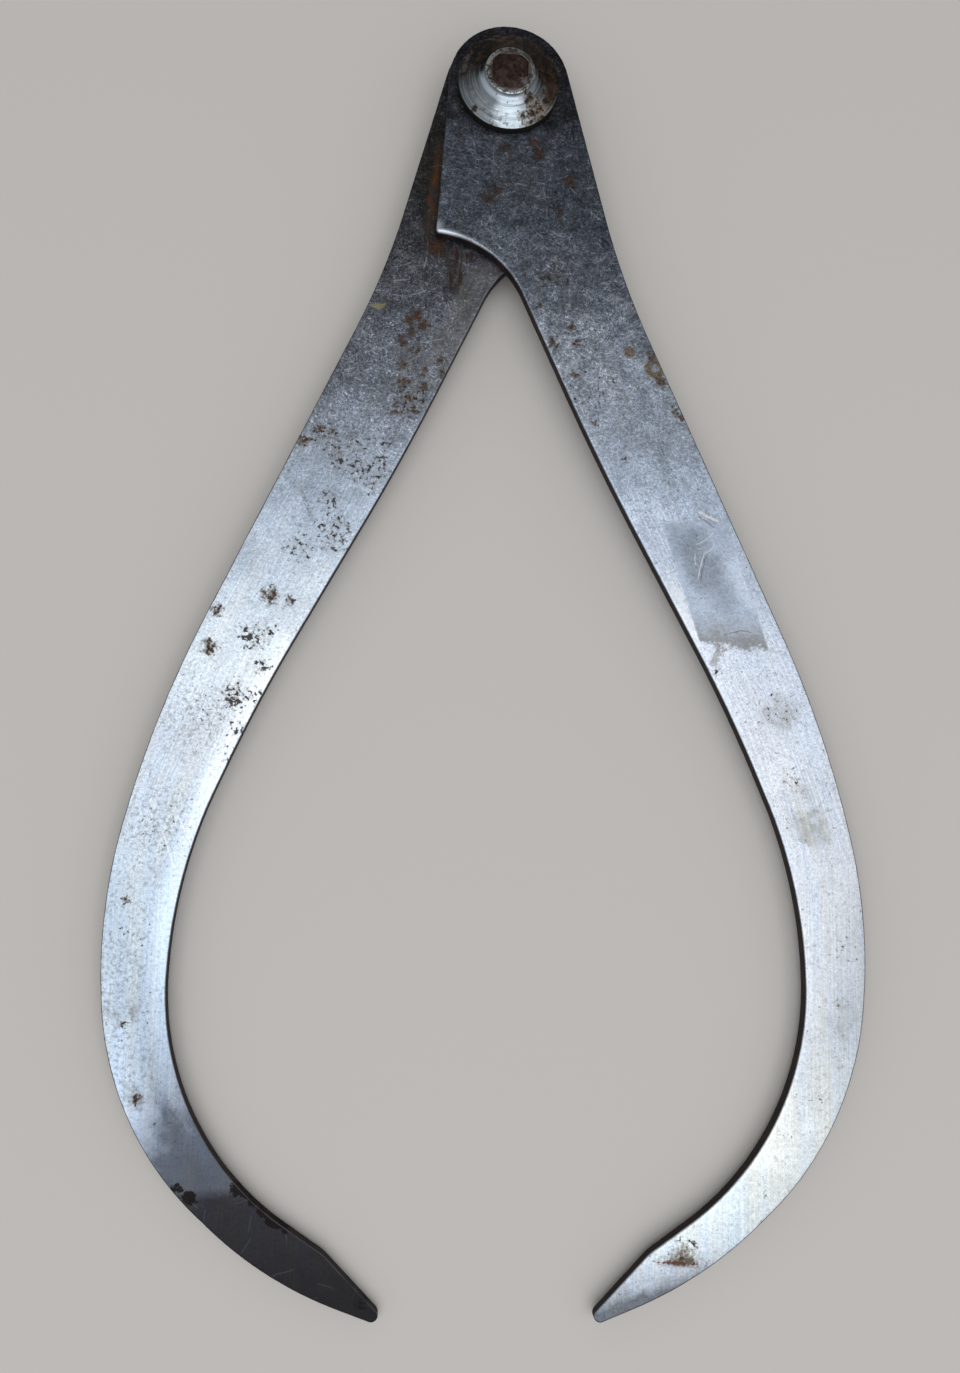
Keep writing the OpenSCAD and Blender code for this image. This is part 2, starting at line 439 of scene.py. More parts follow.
def leg_piece(name, front, areas):
    """One leg: flat faces laid out in rows across it, softened rims all round.
    The visible face is the outer one on the front leg and the mating one on
    the rear leg."""
    (inner, inner_out), (outer, outer_out), walked, notch_end = leg_stations()
    count = len(walked)

    corner = [np.array(c[:2], float) for c in leg_corners]
    tip_run = unit(corner[tip_corner - 1] - corner[tip_corner - 2])
    tip_middle = (inner[-1] + outer[-1]) / 2 - tip_run
    thin_from = tip_middle - thinning_length * tip_run
    slope = (leg_thickness - tip_thickness) / thinning_length

    def face_height(x, y):
        return leg_thickness - max(0.0, (np.array([x, y]) - thin_from) @ tip_run) * slope

    # rim widths: wide and soft along the notch, narrower down the inner edge
    after = walked - (notch_end - 19)    # measured from the heel point
    inner_rim = np.interp(after, [-30, -10, -1.5, 1.2, 4.0, 9, 16, 45, 120],
                          [0.20, 0.22, 0.40, 0.62, 0.60, 0.42, 0.34, 0.32, 0.26])
    outer_rim = np.full(count, outer_rim_width)

    middle = (inner + outer) / 2
    along = np.concatenate([[0], np.cumsum(np.linalg.norm(np.diff(middle, axis=0), axis=1))])
    width = np.linalg.norm(outer - inner, axis=1)

    places, grain, rim, half_width, faces = [], [], [], [], []

    def put(x, y, z, a, b, wear_and_sheen, half):
        places.append((x, y, z))
        grain.append((a, b))
        rim.append(wear_and_sheen)
        half_width.append(half)
        return len(places) - 1

    def rim_point(k, side, tilt, upper):
        edge, out, wide = inner, inner_out, inner_rim
        if side > 0:
            edge, out, wide = outer, outer_out, outer_rim
        edge_x, edge_y = edge[k]
        wobble = 0.05 * noise.noise(Vector((edge_x * 0.55, edge_y * 0.55, side * 9)))
        rough = 0.09 * noise.noise(Vector((edge_x * 1.7, edge_y * 1.7, 3)))
        if walked[k] > head_side_walk:
            rough *= 0.25
        w = wide[k] * (1 if upper else 0.8) + wobble
        inset = w * (1 - math.sin(tilt)) + abs(rough) + abs(wobble) * 0.4
        x, y = edge[k] - out[k] * inset
        top = face_height(x, y)
        drop = w * (1 - math.cos(tilt))
        z = top - drop if upper else drop
        half = width[k] / 2
        return x, y, z, along[k], side * (half - inset + drop), tilt / math.radians(90), half

    def join_places(a, b, k, turned_over):
        """One face between places k and k + 1 of the lines a and b."""
        quad = [a[k], b[k], b[k + 1], a[k + 1]]
        faces.append(quad[::-1] if turned_over else quad)

    tilts = [math.radians(tilt) for tilt in rim_tilts]
    grids = []
    for upper in (True, False):
        rings = {-1: [], 1: []}
        for side in (-1, 1):
            for tilt in tilts:
                ring = [put(*rim_point(k, side, tilt, upper)) for k in range(count)]
                rings[side].append(ring)
        rows = []
        for k in range(count):
            start, stop = rings[-1][0][k], rings[1][0][k]
            first, last, a, b = places[start], places[stop], grain[start], grain[stop]
            row = [start]
            for m in range(1, face_columns):
                f = m / face_columns
                x = first[0] + (last[0] - first[0]) * f
                y = first[1] + (last[1] - first[1]) * f
                z = face_height(x, y) if upper else 0.0
                row.append(put(x, y, z, a[0], a[1] + (b[1] - a[1]) * f, 0.0, width[k] / 2))
            row.append(stop)
            rows.append(row)
        for k in range(count - 1):
            for m in range(face_columns):
                quad = [rows[k][m], rows[k + 1][m], rows[k + 1][m + 1], rows[k][m + 1]]
                faces.append(quad if upper else quad[::-1])
            for j in range(len(tilts) - 1):
                for side in (-1, 1):
                    join_places(*rings[side][j:j + 2], k, (side < 0) != upper)
        grids.append(rings)
    for side in (-1, 1):
        for k in range(count - 1):
            join_places(grids[0][side][-1], grids[1][side][-1], k, side > 0)

    # the rear leg is the same one turned over, and both swing out from the middle
    way = 1 if front else -1
    half_opening = way * math.radians(rest_opening / 2)
    c, s = math.cos(half_opening), math.sin(half_opening)
    placed = [(way * x * c - y * s, way * x * s + y * c, seam_z + way * z) for x, y, z in places]
    measures = {"rim": rim, "half_width": half_width}
    level = np.array(placed)
    for area, spots in areas.items():
        measures[area] = covered(spots, level[:, 0], level[:, 1])
    piece = build_mesh(name, placed, faces, grain, measures)
    tidy_seams(piece)
    return piece


def tidy_seams(piece):
    """Joins the rows that meet at the head and at the tip."""
    shape = bmesh.new()
    shape.from_mesh(piece.data)
    bmesh.ops.remove_doubles(shape, verts=shape.verts, dist=0.004 * MM)
    bmesh.ops.dissolve_degenerate(shape, edges=shape.edges, dist=0.002 * MM)
    bmesh.ops.recalc_face_normals(shape, faces=shape.faces)
    shape.to_mesh(piece.data)
    shape.free()
    piece.data.shade_smooth()


def lathe_work(rings, turns, close):
    """Places and faces of a turned shape; a ring gives radius and height for an
    angle, and the last ring is joined to the first where close is true."""
    places, faces = [], []
    for ring in rings:
        for k in range(turns):
            angle = 2 * math.pi * k / turns
            radius, height = ring(angle)
            places.append((radius * math.cos(angle), radius * math.sin(angle), height))
    for j in range(len(rings) - 1 + (1 if close else 0)):
        a, b = j * turns, ((j + 1) % len(rings)) * turns
        for k in range(turns):
            n = (k + 1) % turns
            faces.append([a + k, a + n, b + n, b + k])
    return places, faces


def squared(angle, spare):
    """Distance from the axis to the side of the squared rivet."""
    flat = (square_width / 2 + spare) / max(abs(math.cos(angle)), abs(math.sin(angle)))
    return min(rivet_diameter / 2 + spare, flat)


def washer_piece(name, upper):
    """Coned cap washer turned from bar, with the squared hole through it."""
    outer = washer_diameter / 2
    foot = np.array([outer - 0.15, rim_height + 0.03])
    head = np.array([flat_diameter / 2, washer_height - step_height])
    slope = unit(head - foot)
    above = np.array([slope[1], -slope[0]])
    hollow_x = flat_diameter / 2 + hollow_radius
    run = (hollow_x - foot[0] - above[0] * hollow_radius) / slope[0]
    centre = foot + slope * run + above * hollow_radius
    touch = centre - above * hollow_radius
    first = math.atan2(*(touch - centre)[::-1])
    # the rim, then the cone, then the hollow under the small flat
    profile = [(outer - 0.12, 0), (outer - 0.03, 0.03), (outer, 0.12), (outer, 0.6),
               (outer, rim_height - 0.1), (outer - 0.02, rim_height - 0.03),
               (outer - 0.07, rim_height + 0.01)]
    for f in np.linspace(0, 1, 15):
        profile.append(tuple(foot + (touch - foot) * f))
    for f in np.linspace(0.12, 1, 9):
        angle = first + (math.copysign(math.pi, first) - first) * f
        profile.append(tuple(centre + hollow_radius * np.array([math.cos(angle), math.sin(angle)])))
    step = flat_diameter / 2
    profile += [(step, washer_height - 0.16), (step - 0.04, washer_height - 0.05),
                (step - 0.14, washer_height), (step - 0.4, washer_height)]
    rings = [lambda angle, r=r, z=z: (r, z) for r, z in profile]
    # the flat changes over to the squared hole, which goes straight down
    for share in (0.35, 0.7):
        rings.append(lambda angle, s=share: (
            (step - 0.4) * (1 - s) + (squared(angle, hole_spare) + 0.1) * s, washer_height))
    for bevel, z in ((0.08, washer_height), (0, washer_height - 0.07),
                     (0, washer_height / 2), (0, 0)):
        rings.append(lambda angle, r=bevel, z=z: (squared(angle, hole_spare) + r, z))
    places, faces = lathe_work(rings, washer_turns, close=True)
    if upper:
        placed = [(x, y, top_washer_z + z) for x, y, z in places]
    else:
        placed = [(x, y, washer_height - z) for x, y, z in places]
        faces = [face[::-1] for face in faces]
    return build_mesh(name, placed, faces)


def rivet_piece(name):
    """Squared rivet with both ends hammered nearly flush."""
    rings = []

    def end_ring(share, z, dents):
        def ring(angle):
            radius = squared(angle, rivet_spare) * share
            x, y = radius * math.cos(angle), radius * math.sin(angle)
            dent = (0.16 * abs(noise.noise(Vector((x * 0.9, y * 0.9, dents))))
                    + 0.05 * abs(noise.noise(Vector((x * 2.6, y * 2.6, dents + 7)))))
            fall = 0.1 * max(0, share - 0.86) / 0.14
            return radius, z + (dent + fall if z < 1 else -dent - fall)
        return ring

    shares = (0.02, 0.12, 0.24, 0.36, 0.48, 0.6, 0.72, 0.82, 0.9, 0.96, 1)
    for share in shares:
        rings.append(end_ring(share, 0, 3))
    for z in (0.5, washer_height - 0.02):
        rings.append(lambda angle, z=z: (squared(angle, rivet_spare), z))
    for z in (washer_height + 0.02, top_washer_z - 0.02):
        rings.append(lambda angle, z=z: (rivet_diameter / 2, z))
    for z in (top_washer_z + 0.02, full_height - 0.5):
        rings.append(lambda angle, z=z: (squared(angle, rivet_spare), z))
    for share in reversed(shares):
        rings.append(end_ring(share, full_height, 11))
    places, faces = lathe_work(rings, rivet_turns, close=False)
    faces.append(list(range(rivet_turns))[::-1])
    faces.append(list(range(len(places) - rivet_turns, len(places))))
    return build_mesh(name, places, faces)


# ---------------------------------------------------------------- finishes
# Tone down each leg, partly the steel's own and partly painted dark and bright
# reflection: distance from the joint towards the tip, mm, and the colour there.
front_tones = [
    (-8, (0.035, 0.036, 0.042)), (4, (0.045, 0.047, 0.055)), (10, (0.1, 0.11, 0.135)),
    (24, (0.105, 0.12, 0.145)), (38, (0.18, 0.2, 0.24)), (49, (0.335, 0.375, 0.44)),
    (62, (0.36, 0.41, 0.49)), (74, (0.5, 0.58, 0.7)), (98, (0.64, 0.7, 0.8)),
    (160, (0.5, 0.54, 0.59)), (178, (0.63, 0.68, 0.7)), (191, (0.57, 0.65, 0.71)),
    (197, (0.38, 0.43, 0.5)), (202, (0.13, 0.145, 0.17)),
]
rear_tones = [
    (-8, (0.04, 0.04, 0.045)), (16, (0.05, 0.051, 0.053)), (30, (0.095, 0.097, 0.11)),
    (54, (0.21, 0.23, 0.27)), (76, (0.5, 0.58, 0.69)), (103, (0.7, 0.77, 0.83)),
    (112, (0.57, 0.63, 0.71)), (141, (0.46, 0.55, 0.65)), (166, (0.35, 0.42, 0.51)),
    (174, (0.2, 0.235, 0.295)), (178, (0.085, 0.102, 0.135)), (184, (0.074, 0.082, 0.1)),
    (190, (0.026, 0.026, 0.031)), (204, (0.017, 0.017, 0.019)),
]
tones_start, tones_run = -12, 220

# Rust spots (x, y, size), mm.
front_rust = [
    (-0.3, -11.7, 0.8), (4.9, -10.2, 1.1), (5.8, -12, 0.9), (11.2, -16.9, 0.9),
    (-1.6, -19.4, 0.8), (-2.8, -20.8, 1), (9.1, -22.7, 0.6), (7.2, -34.4, 0.7),
    (11.4, -43.4, 0.7), (12.5, -46, 0.6), (8.3, -46.1, 0.8), (12, -51.7, 0.6), (18.7, -52.2, 0.4),
    (5.7, -39.9, 0.5), (15.5, -59.8, 0.4), (20.6, -65.8, 0.4), (25.7, -47.5, 0.9),
    (27, -51.9, 0.9), (29.4, -57, 0.6), (30.4, -58.2, 0.6),
]
rear_rust = [
    (-11.9, -28.8, 1.2), (-11, -27.4, 0.7), (-14.9, -41.6, 0.9), (-13.5, -43.2, 0.8),
    (-16.1, -42.4, 0.7), (-15.6, -44.6, 0.6), (-17, -46.2, 0.7), (-14.6, -48, 0.6),
    (-16.8, -50.2, 0.8), (-10.6, -49.2, 0.7), (-12.8, -51.3, 0.7), (-10.1, -51.4, 0.5),
    (-16.6, -53.4, 0.9), (-12.9, -54.1, 0.7), (-15.6, -56.4, 0.6), (-14.9, -58.4, 0.6),
    (-17.8, -58.8, 0.6), (-33, -64.4, 1), (-30.5, -62.1, 0.45), (-28.4, -62.9, 0.4),
    (-27.5, -65.4, 0.45), (-37.4, -90.8, 1.2), (-45.8, -93.7, 0.8), (-46.8, -99.8, 1.1),
    (-34.2, -91.6, 0.7), (-57.9, -140.1, 0.5), (-54.6, -170.2, 0.6), (-57, -159, 0.5),
]

# Rust on each cap washer, by the way it faces: soft areas (x, y, size,
# strength) and dark pits (x, y, size).
washer_rust = {
    1: (
        [(4.8, -5.4, 2.6, 1), (6.6, -3, 2, 0.95), (3.4, -4, 1.3, 0.9), (7.2, -1.2, 1.5, 0.7),
         (2.6, -6.8, 1.4, 0.8), (3.6, -7.6, 1.4, 0.8)],
        [(-5.9, -5.7, 0.46), (-3.2, -1.9, 0.28), (2.7, -3.4, 0.3), (3.6, -3.9, 0.5),
         (3, -4.6, 0.42), (6.4, -3.6, 0.45), (7.4, -2, 0.6), (5.9, -0.8, 0.55), (4.3, -6, 0.45),
         (2.5, -6.7, 0.42), (3.9, -7.3, 0.36), (5.5, -4.9, 0.4), (-8, 0.5, 0.45)]),
    -1: ([(-4.6, -4.4, 3.6, 1), (3.8, 5, 2.6, 1)], [(5.6, -5.2, 0.5)]),
}

# Soft areas on each leg (x, y, size, strength), mm.
front_areas = {
    "pitted": [
        (12, -43, 6, 0.55), (14, -54, 6, 0.55), (2, -18, 7, 0.6), (36.2, -101.4, 1.2, 1),
        (46.5, -108, 5, 0.42), (48.6, -119.4, 2.4, 0.62), (57.5, -147, 4, 0.35),
        (31, -193.5, 4, 0.6), (9, -34, 5, 0.7),
    ],
    "stained": [
        (47, -108, 4.5, 1), (43, -105.5, 4, 0.6), (51.5, -121.5, 3, 0.8),
        (52.5, -126.5, 4.5, 1.2), (57, -146, 4, 0.6), (57, -158, 5, 0.7), (54.6, -165, 4, 0.6),
    ],
}
rear_areas = {
    "pitted": [
        (-15.4, -56.5, 4, 0.9), (-29.5, -63.5, 3.4, 0.85), (-27.4, -67.6, 2.2, 0.95),
        (-23.8, -69, 2.8, 1), (-20.8, -71.6, 2.2, 1), (-20, -67.8, 2.6, 0.95),
        (-19.6, -63.6, 2.2, 0.85), (-24, -64.6, 2.4, 0.8), (-27.4, -79.8, 4.5, 0.85),
        (-33, -82.6, 3.4, 0.75), (-28.2, -74.2, 2.6, 0.8), (-37.4, -90.8, 2, 0.9),
        (-34.2, -91.4, 1.4, 0.9), (-46, -93.6, 1.4, 0.9), (-46.8, -99.8, 1.4, 0.9),
        (-40, -98, 3, 1.15), (-37, -96.8, 1.8, 1), (-38.2, -102.6, 2, 1.1),
        (-42.6, -107.6, 2.8, 1.15), (-39.2, -107.8, 2, 1.1), (-41.6, -112.8, 2, 1),
        (-43, -117, 2, 0.9), (-47, -111, 5, 0.5), (-57, -158, 5, 0.35), (-57, -146, 5, 0.35),
        (-52, -128, 6, 0.3),
    ],
    "stained": [
        (-15.2, -43.4, 3, 0.9), (-15.6, -49.4, 4, 0.8), (-14.4, -55.5, 4.5, 0.8),
        (-28.4, -65, 4.5, 0.8), (-21, -69.5, 4, 0.6), (-57.5, -157, 4.5, 0.8),
        (-55.4, -170, 3, 1),
    ],
    "speckled": [
        (-57, -152, 8, 1), (-56, -138, 7, 0.7), (-55.5, -164, 7, 0.9), (-47.5, -112, 8, 0.85),
        (-53, -128, 7, 1.1),
    ],
    "run_rust": [
        (-8.6, -31, 2.4, 1), (-7.8, -34.2, 2.4, 1), (-8.2, -36.6, 1.6, 0.8),
        (-5.8, -30.4, 1.4, 0.8), (-11.2, -29, 2.2, 0.8),
    ],
    "crusted": [
        (-45.9, -184.8, 1.5, 1), (-48, -183.2, 1.2, 0.8), (-38.3, -183.6, 1.8, 1.1),
        (-36.4, -185.2, 1.3, 1.05), (-34.6, -186.6, 1.4, 1.1), (-32.9, -188, 1.7, 1.15),
        (-31.2, -189.3, 1.2, 1), (-19.4, -200.4, 1.6, 0.8), (-33, -64.4, 1, 0.75),
    ],
}


class LegFinish(Finish):
    """Old ground steel: dark and scuffed round the joint, brighter and finely
    brushed down the bow, the dark and the bright partly painted reflection, with
    rust spots, pits and side walls painted near-black as dark scale and painted
    shade. The two kinds below add the marks that only one leg has."""

    def __init__(self, name, seen_from_z, seen_to_z):
        super().__init__(name)
        bench = self.bench
        grain = bench.node("ShaderNodeUVMap", {"uv_map": "grain"})["UV"]
        self.along, self.across, _ = bench.parts(grain)
        half_width = bench.measure("half_width")
        self.from_inner = self.across + half_width
        self.from_outer = half_width - self.across
        self.seen = self.z.step(seen_from_z, seen_to_z)
        self.cloud = bench.noise(self.place, 0.13, 2)
        self.blotch = bench.noise(self.place, 0.42, 4, 0.68)
        self.fleck = bench.noise(self.place, 2, 2, 0.6)
        self.grit = bench.noise(self.place, 4.2, 1)

    def mark(self, mask, strength, tint):
        """A coat on the visible face only."""
        self.coat(mask * self.seen * strength, tint)

    def curves(self, *table):
        """Short scratches through x, y: bowed by bend, per mm, and uneven."""
        def one(x, y, degrees, half_length, half_width, bend, strength=1):
            along, across = turned(self.x - x, self.y - y, degrees)
            off = abs(across - along * along * bend + self.blotch.swing(0.8))
            ends = abs(along).step(half_length, half_length * 0.6)
            return off.step(half_width, half_width * 0.3) * ends * strength
        return strongest([one(*curve) for curve in table])

    def build(self):
        bench, place, flat, x, y = self.bench, self.place, self.flat, self.x, self.y
        along, across = self.along, self.across
        cloud, blotch, fleck, grit = self.cloud, self.blotch, self.fleck, self.grit
        speck = bench.noise(place, 1.5, 2, 0.55)

        # tone down the leg, partly painted reflection: dark at the joint, bright down the bow
        down = self.tone_shift(y * -1 + cloud.swing(9) + blotch.swing(7))
        stops = [((at - tones_start) / tones_run, tone) for at, tone in self.tones]
        share = (down - tones_start) / tones_run
        self.colour = bench.node("ShaderNodeValToRGB", {"stops": stops}, {"Fac": share})["Color"]

        # brushing follows the leg, but runs straight down the lower bow
        straight = y.step(-128, -142)
        brushed, tinted = [
            bench.drawn(along * slow, across * fast, 0, detail, rough) * (1 - straight)
            + bench.drawn(y * slow, x * fast, 0, detail, rough) * straight
            for slow, fast, detail, rough in ((0.05, 3.6, 3, 0.7), (0.02, 0.42, 2, 0.5))]

        # hair scratches, short and curled: thick round the joint, few further down
        scuffed = y.step(*self.scuffed_from) * self.scuff_depth
        smooth = self.smooth()
        hair_x, hair_y, _ = bench.parts(bench.stirred(flat, flat, 0.7, 1, 4.2))
        hairs = strongest([bench.hairs(hair_x, hair_y, *kind) for kind in (
            (58, 1.3, 0.26, 0.62, 3), (-32, 1.2, 0.25, 0.62, 8), (10, 1.4, 0.27, 0.63, 13))])

        # light and dark of the surface, as doublings of the steel tone
        contrast = (cloud.swing(0.6) + blotch.swing(1 + scuffed) + fleck.swing(1.2 + scuffed * 2)
                    + grit.swing(1 + scuffed * 1.5) + brushed.swing(1.25 - scuffed * 0.7)
                    + hairs * (0.1 + scuffed * (0.5 + blotch * 0.9))
                    - speck.step(0.58, 0.74) * (0.55 + scuffed * 0.3))
        lower_bow = y.step(-118, -142)
        shade = 2 ** (contrast * (1 - smooth * 0.7) * (1 - lower_bow * 0.22)) * self.side_light()
        warmth = tinted.step(0.36, 0.64) * (0.4 + y.step(-95, -130) * 0.6)
        tint = bench.blend(warmth, (0.97, 0.995, 1.03), (1.03, 1, 0.955))
        self.colour = bench.stretched(self.colour, bench.shaded(tint, shade))

        # longer straight scratches
        scratches = strongest([bench.scratches(flat, *kind) for kind in (
            (3.4, 3.6, 0.16, 0.35, 11.7), (6.5, 8, 0.17, 0.35, 37))])
        scratches = (scratches * (0.04 + scuffed * blotch.step(0.36, 0.6) * 0.34)
                     * y.step(-2, -10) * (1 - smooth))
        self.coat(scratches, bench.blend(scuffed, (0.86, 0.9, 0.95), (0.52, 0.57, 0.64)))
        grime, lift = self.paint()

        # pits and rust
        pit_grain = bench.noise(place, 1.25, 3, 0.62) + bench.measure("pitted") * 0.19
        pits = pit_grain.step(0.72, 0.765) * (1 - smooth * 0.8)
        rust_near = bench.spots(bench.stirred(flat, place, 1.1, 3, 3.4), self.rust_spots, 0.95)
        rust_field = rust_near + fleck.swing(2.2) + speck.swing(0.8) + grit.swing(0.6)
        rust = rust_field.step(0.62, 1.02)
        stain = rust_field.step(0.12, 0.66) * rust_near.step(0, 0.3)
        near_joint = y.step(-66, -24)
        bare = 1 - y.step(-176, -184) * (smooth * 1.7).lesser(1)
        self.coat(pit_grain.step(0.6, 0.74) * 0.45 * bare, (0.15, 0.12, 0.095))
        self.coat(stain * 0.7, bench.blend(near_joint, srgb(92, 80, 60), srgb(60, 48, 36)))
        self.coat(rust * 0.9, bench.blend(
            grit.step(0.4, 0.62) * (1 - near_joint * 0.4),
            bench.blend(near_joint, srgb(38, 29, 24), srgb(36, 21, 17)),
            bench.blend(y.step(-110, -75), srgb(74, 61, 50), srgb(102, 65, 40))))
        self.coat(pits * 0.88 * bare, srgb(46, 39, 36))

        # rims: a worn line on the inner edge, partly painted highlight; a dark one outside and on
        # the head, dirt and painted shade
        edge = bench.measure("rim")
        inside_edge = across.step(1, -1) * y.step(-20, -27)
        rim_highlight_and_shade = bench.blend(inside_edge, (0.04, 0.04, 0.045),
                                 bench.blend(0.26, self.colour, (0.6, 0.65, 0.72)))
        rim_wear_and_sheen = (0.45 + blotch.step(0.36, 0.58) * 0.5) * (1 - smooth * 0.7)
        self.coat(edge.step(0.04, 0.4) * rim_wear_and_sheen, rim_highlight_and_shade)
        # side walls painted near-black: dark scale and painted shade
        wall = edge.step(0.55, 0.9)
        self.coat(wall, bench.blend(blotch.step(0.42, 0.64), srgb(22, 20, 21), srgb(46, 33, 27)))

        dirt = (rust + pits * 0.8 + grime).lesser(1)
        roughness = 0.4 + blotch.swing(0.3) + dirt * 0.38 + wall * 0.25
        metallic = (1 - dirt * 0.85) * (1 - wall * 0.9)
        height = (brushed.swing(0.5) + fleck.swing(0.8) + blotch.swing(1.6)
                  - (hairs * scuffed * 0.4 + scratches) * 0.6
                  - pits * 1.5 + rust * fleck * 1.2 + lift)
        return self.done(roughness, metallic, height, 0.022, 0.25)


class FrontLegFinish(LegFinish):
    """With the mark of a small label that was once stuck on, a worn heel with a
    painted highlight along the notch, and stains."""

    tones = front_tones
    rust_spots = front_rust
    label_corner = (33.9, -97.5)
    label_width = 10.9
    label_length = 22.3
    label_turn = 17.9
    label_skew = 0.33
    scuffed_from = (-88, -32)
    scuff_depth = 1.1

    def tone_shift(self, down):
        # the tip darkens along its outer edge first
        return down + self.from_outer.step(2.6, 0) * self.y.step(-192, -200) * 3

    def side_light(self):
        return 1 - self.across * (0.01 + self.y.step(-120, -150) * 0.022)

    def label_place(self):
        corner_x, corner_y = self.label_corner
        over, up = turned(self.x - corner_x, self.y - corner_y, self.label_turn)
        return over, up + over * self.label_skew

    def smooth(self):
        over, up = self.label_place()
        width, length = self.label_width, self.label_length
        return (over.between(-0.2, 0.6, width - 0.4, width + 0.2)
                * up.between(0, 1.5, length - 0.6, length + 0.3)) * 0.8

    def paint(self):
        """Lays on this leg's own marks; gives back their dirt and relief."""
        bench, flat, y, seen = self.bench, self.flat, self.y, self.seen
        cloud, blotch, fleck, grit = self.cloud, self.blotch, self.fleck, self.grit
        over, up = self.label_place()
        width, length = self.label_width, self.label_length
        torn = up + (blotch.swing(6.5) + fleck.swing(2.6) - over.step(3, 0) * 1.4)
        sides = over.between(-0.2, 0.25, width - 0.2, width + 0.2)
        inside = sides * torn.step(-0.7, 0.5) * up.step(length + 0.4, length - 1.6) * seen
        # grey where the glue stayed, down the middle and along the lower end
        hollow_x, hollow_y = over - 4.6 + (up - 14) * 0.16, up - 14.8
        middle = (hollow_x * hollow_x * 0.085 + hollow_y * hollow_y * 0.011
                  + cloud.swing(1.2) + blotch.swing(1.8)).step(1.7, -0.3)
        low_end = (up + cloud.swing(4) + blotch.swing(5)).step(8, 0.5)
        pale_side = (over * 0.34 - abs(up - 12.5) * 0.28 + blotch.swing(1.2)).step(1.4, 3)
        clean = bench.blend(pale_side, (0.42, 0.5, 0.62), (0.56, 0.65, 0.78))
        clean = bench.blend(middle * 0.95, clean, (0.2, 0.23, 0.28))
        clean = bench.blend(low_end * 0.9, clean, (0.25, 0.265, 0.28))
        clean = bench.shaded(clean, 2 ** (fleck.swing(1) + blotch.swing(0.9) + grit.swing(0.7)))
        self.coat(inside * 0.85, clean)
        self.mark(sides * torn.step(-0.9, 0.4) * torn.step(3.4, 0.2), 0.42, (0.19, 0.18, 0.165))
        # bare bright strip beside the label, and its torn lower corner
        strip = over.between(-3.4, -1.2, -0.6, 0.1) * up.between(-2, 2, 8, 15)
        self.mark(strip, 0.45, (0.86, 0.9, 0.93))
        corner = self.curves((36.6, -99, 62, 2.4, 1.3, 0)) + fleck.swing(2.4) + blotch.swing(2.4)
        corner = corner.step(0.55, 0.85) * bench.disc(flat, 36.6, -99.1, 2.4, 0.3)
        self.mark(corner, 0.55, (0.2, 0.175, 0.15))

        # curly scratches in the label mark and a pale smear above it
        curls = self.curves(
            (34.8, -79.2, 36, 2.3, 0.12, 0.08), (33.9, -83.6, 77, 3, 0.12, -0.03),
            (35.8, -80.7, 51, 1.6, 0.12, 0.25), (32.9, -82.7, 93, 1.2, 0.11, -0.1))
        self.mark(curls, 0.6, (0.76, 0.81, 0.88))
        shadows = self.curves(
            (34.3, -83.9, 77, 2.8, 0.14, -0.03), (40.4, -94.6, 6, 2.6, 0.12, -0.08))
        self.mark(shadows, 0.6, (0.12, 0.13, 0.15))
        smear = self.curves((35.2, -75.2, -25, 2.3, 0.34, 0.02))
        self.mark(smear, 0.8, (0.76, 0.77, 0.76))
        # painted shadow: a dark line under the pale smear
        self.mark(self.curves((34.8, -76.1, -31, 2.2, 0.2, 0)), 0.5, (0.14, 0.14, 0.15))

        # olive and grey stains on the bow, and old oil near the outer edge
        stained = bench.measure("stained")
        stain = (stained * 0.3 + blotch + fleck.swing(0.5)).step(0.62, 0.95)
        self.mark(stain * stained.step(0, 0.5), 0.52, (0.2, 0.2, 0.155))
        ragged = fleck.swing(1.9) + blotch.swing(2.2)
        drop = bench.far_from(flat, 21.7, -47).step(1.5, 0.5) + ragged
        ring = bench.far_from(flat, 26.1, -49.7)
        oil = ring.between(0.35, 0.9, 1.2, 2.5) + ragged * 0.8
        oil = (oil.step(0.42, 0.8) * ring.step(3, 2.2)).either(drop.step(0.45, 0.8)) * seen
        self.coat(oil * 0.82, bench.blend(grit.step(0.4, 0.6), srgb(88, 66, 28), srgb(116, 96, 52)))

        # rust patch above the tip, with a thin dark line under it
        px, py = turned(self.x - 30.4, y + 194.8, -4)
        reach = abs(px) * 0.27 + py * 0.34 + blotch.swing(2.4) + fleck.swing(1.6)
        patch = reach.step(1.25, 0.15) * py.step(-0.9, 0.3) * seen
        self.coat(patch * 0.85,
                  bench.blend(reach.step(0.7, 0), srgb(118, 106, 80), srgb(82, 64, 42)))
        core = abs(px + 0.6) * 0.26 + abs(py) * 2.2 + fleck.swing(2) + blotch.swing(1.2)
        core = core.step(1.05, 0.45) * seen
        self.coat(core * 0.85, srgb(98, 58, 36))

        # worn heel and notch edge, partly painted highlight: a pale glow along the notch, brightest
        # at the heel
        heel = bench.disc(flat, -11.2, -27.4, 2.6, 0.9) * y.step(-24.6, -26.6)
        notch = self.from_inner.step(1.7, 0.1) * y.step(-25, -27) * self.x.step(2, -9)
        wear_and_sheen = notch * 0.42 + heel * self.from_inner.step(1.7, 0.2) * 0.9
        self.mark(wear_and_sheen * (0.55 + blotch * 0.9), 0.7, (0.6, 0.66, 0.74))
        return (patch * 0.5 + core * 0.4 + oil * 0.6,
                inside * 0.2 + smear * 0.5 - shadows * 0.5)


